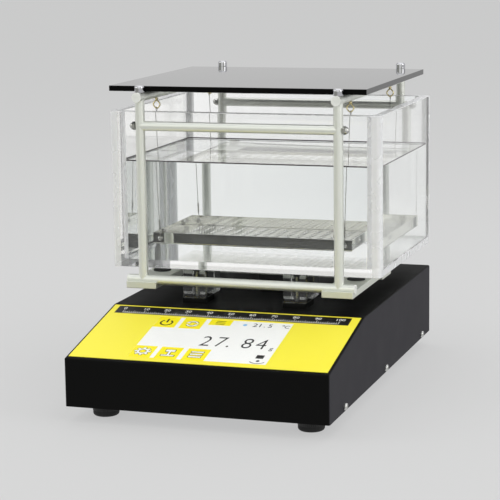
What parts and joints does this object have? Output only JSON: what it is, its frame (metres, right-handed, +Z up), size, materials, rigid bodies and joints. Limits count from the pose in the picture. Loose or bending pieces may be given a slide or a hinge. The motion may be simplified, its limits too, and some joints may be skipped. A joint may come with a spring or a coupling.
{
  "type": "benchtop density meter",
  "caption": "Bench density meter: a sloped-panel balance whose open tube frame carries a black plate above and hangs a perforated tray in a clear water tank.",
  "frame": {"origin": "on the bench top, under the middle of the whole outline", "axes": "+X to the user's right, +Y from the front panel to the back, +Z up"},
  "size_m": [0.309, 0.456, 0.3456],
  "materials": {
    "black_powder_coat": "fine-textured black powder coat on folded steel",
    "zinc_plated_steel": "zinc plated, dull",
    "printed_film": "yellow printed polyester film, satin",
    "screen_glass": "clear touch glass over a lit display",
    "display_case": "moulded display frame",
    "circuit_board": "green solder mask",
    "nylon": "moulded pale nylon",
    "socket_shell": "nickel plated shell",
    "black_plastic": "moulded, fine grain",
    "rubber": "moulded, matt",
    "brass": "bright, clear lacquered",
    "machined_aluminium": "milled",
    "black_anodised": "black anodised",
    "satin_anodised": "fine satin, clear anodised",
    "stainless_fasteners": "bright rolled thread and turned head",
    "polished_chrome": "polished plate",
    "black_glass": "polished black glass, ground edges",
    "polished_stainless": "mirror polished sheet",
    "stainless_wire": "drawn wire",
    "clear_acrylic": "polished faces, glued corners"
  },
  "bodies": {
    "base": {"housing_cover": "black_powder_coat", "base_plate": "zinc_plated_steel", "foot_bushes": "brass", "side_screws": "zinc_plated_steel", "front_overlay": "printed_film", "display_glass": "screen_glass", "display_module": "display_case", "display_board": "circuit_board", "main_board": "circuit_board", "board_spacers": "nylon", "serial_port": "socket_shell", "power_inlet": "black_plastic", "load_cell": "machined_aluminium", "load_cell_mount": "machined_aluminium", "load_cell_screws": "zinc_plated_steel", "overload_stop": "zinc_plated_steel", "pillar_blocks": "black_plastic", "tank_pillars": "clear_acrylic", "pillar_screws": "stainless_fasteners"},
    "weighing_frame": {"load_receiver": "black_anodised", "bridge_plate": "machined_aluminium", "frame_screws": "stainless_fasteners", "side_bar_left": "satin_anodised", "side_bar_right": "satin_anodised", "bar_bumpers": "rubber", "bottom_tube_front": "satin_anodised", "bottom_tube_rear": "satin_anodised", "cross_tube_front": "satin_anodised", "cross_tube_rear": "satin_anodised", "tie_rods_and_nuts": "stainless_fasteners", "top_beam_left": "satin_anodised", "top_beam_right": "satin_anodised", "tube_end_caps": "nylon", "post_bolts": "stainless_fasteners", "locating_pins": "polished_chrome", "screw_eyes": "brass", "post_front_left": "satin_anodised", "post_front_right": "satin_anodised", "post_rear_left": "satin_anodised", "post_rear_right": "satin_anodised"},
    "plate": {"weighing_plate": "black_glass"},
    "sample_tray": {"tray": "polished_stainless", "tray_screws": "stainless_fasteners"},
    "water_tank": {"tank_front_panel": "clear_acrylic", "tank_rear_panel": "clear_acrylic", "tank_left_panel": "clear_acrylic", "tank_right_panel": "clear_acrylic", "tank_floor": "clear_acrylic"},
    "hanger_front_left": {"hanger_front_left": "stainless_wire"},
    "pad_front_left": {"foot_pad_front_left": "rubber"},
    "wheel_front_left": {"foot_wheel_front_left": "black_plastic"},
    "hanger_front_right": {"hanger_front_right": "stainless_wire"},
    "pad_front_right": {"foot_pad_front_right": "rubber"},
    "wheel_front_right": {"foot_wheel_front_right": "black_plastic"},
    "hanger_rear_left": {"hanger_rear_left": "stainless_wire"},
    "pad_rear_left": {"foot_pad_rear_left": "rubber"},
    "wheel_rear_left": {"foot_wheel_rear_left": "black_plastic"},
    "hanger_rear_right": {"hanger_rear_right": "stainless_wire"},
    "pad_rear_right": {"foot_pad_rear_right": "rubber"},
    "wheel_rear_right": {"foot_wheel_rear_right": "black_plastic"}
  },
  "joints": [
    {"name": "frame_load", "type": "slide", "parent": "base", "child": "weighing_frame", "axis": [0, 0, 1], "range_m": [-0.0005, 0], "stiffness_N_per_m": 98000, "springref_m": 0.0003, "deforming": ["load_cell"]},
    {"name": "plate_lift", "type": "slide", "parent": "weighing_frame", "child": "plate", "axis": [0, 0, 1], "range_m": [0, 0.04]},
    {"name": "tray_sway", "type": "slide", "parent": "weighing_frame", "child": "sample_tray", "axis": [1, 0, 0], "range_m": [-0.005, 0.005], "stiffness_N_per_m": 20},
    {"name": "tank_slide", "type": "slide", "parent": "base", "child": "water_tank", "axis": [1, 0, 0], "range_m": [-0.0215, 0.0215]},
    {"name": "hanger_swing_front_left", "type": "hinge", "parent": "weighing_frame", "child": "hanger_front_left", "pos_m": [-0.1122, -0.0257, 0.30985], "axis": [0, 1, 0], "range_deg": [-2.1, 2.1]},
    {"name": "hanger_swing_front_right", "type": "hinge", "parent": "weighing_frame", "child": "hanger_front_right", "pos_m": [0.1122, -0.0257, 0.30985], "axis": [0, 1, 0], "range_deg": [-2.1, 2.1]},
    {"name": "hanger_swing_rear_left", "type": "hinge", "parent": "weighing_frame", "child": "hanger_rear_left", "pos_m": [-0.1122, 0.1513, 0.30985], "axis": [0, 1, 0], "range_deg": [-2.1, 2.1]},
    {"name": "hanger_swing_rear_right", "type": "hinge", "parent": "weighing_frame", "child": "hanger_rear_right", "pos_m": [0.1122, 0.1513, 0.30985], "axis": [0, 1, 0], "range_deg": [-2.1, 2.1]},
    {"name": "foot_rise_front_left", "type": "slide", "parent": "base", "child": "pad_front_left", "axis": [0, 0, 1], "range_m": [-0.005, 0]},
    {"name": "foot_turn_front_left", "type": "hinge", "parent": "pad_front_left", "child": "wheel_front_left", "pos_m": [-0.1135, -0.19, 0.01], "axis": [0, 0, 1], "range_deg": [-1440, 0]},
    {"name": "foot_rise_front_right", "type": "slide", "parent": "base", "child": "pad_front_right", "axis": [0, 0, 1], "range_m": [-0.005, 0]},
    {"name": "foot_turn_front_right", "type": "hinge", "parent": "pad_front_right", "child": "wheel_front_right", "pos_m": [0.1135, -0.19, 0.01], "axis": [0, 0, 1], "range_deg": [-1440, 0]},
    {"name": "foot_rise_rear_left", "type": "slide", "parent": "base", "child": "pad_rear_left", "axis": [0, 0, 1], "range_m": [-0.005, 0]},
    {"name": "foot_turn_rear_left", "type": "hinge", "parent": "pad_rear_left", "child": "wheel_rear_left", "pos_m": [-0.1135, 0.1855, 0.01], "axis": [0, 0, 1], "range_deg": [-1440, 0]},
    {"name": "foot_rise_rear_right", "type": "slide", "parent": "base", "child": "pad_rear_right", "axis": [0, 0, 1], "range_m": [-0.005, 0]},
    {"name": "foot_turn_rear_right", "type": "hinge", "parent": "pad_rear_right", "child": "wheel_rear_right", "pos_m": [0.1135, 0.1855, 0.01], "axis": [0, 0, 1], "range_deg": [-1440, 0]}
  ],
  "couplings": [
    {"joint": "hanger_swing_front_left", "follows": "tray_sway", "rad_per_m": -6.8752},
    {"joint": "hanger_swing_front_right", "follows": "tray_sway", "rad_per_m": -6.8752},
    {"joint": "hanger_swing_rear_left", "follows": "tray_sway", "rad_per_m": -6.8752},
    {"joint": "hanger_swing_rear_right", "follows": "tray_sway", "rad_per_m": -6.8752},
    {"joint": "foot_rise_front_left", "follows": "foot_turn_front_left", "m_per_rad": 0.00019894},
    {"joint": "foot_rise_front_right", "follows": "foot_turn_front_right", "m_per_rad": 0.00019894},
    {"joint": "foot_rise_rear_left", "follows": "foot_turn_rear_left", "m_per_rad": 0.00019894},
    {"joint": "foot_rise_rear_right", "follows": "foot_turn_rear_right", "m_per_rad": 0.00019894}
  ]
}
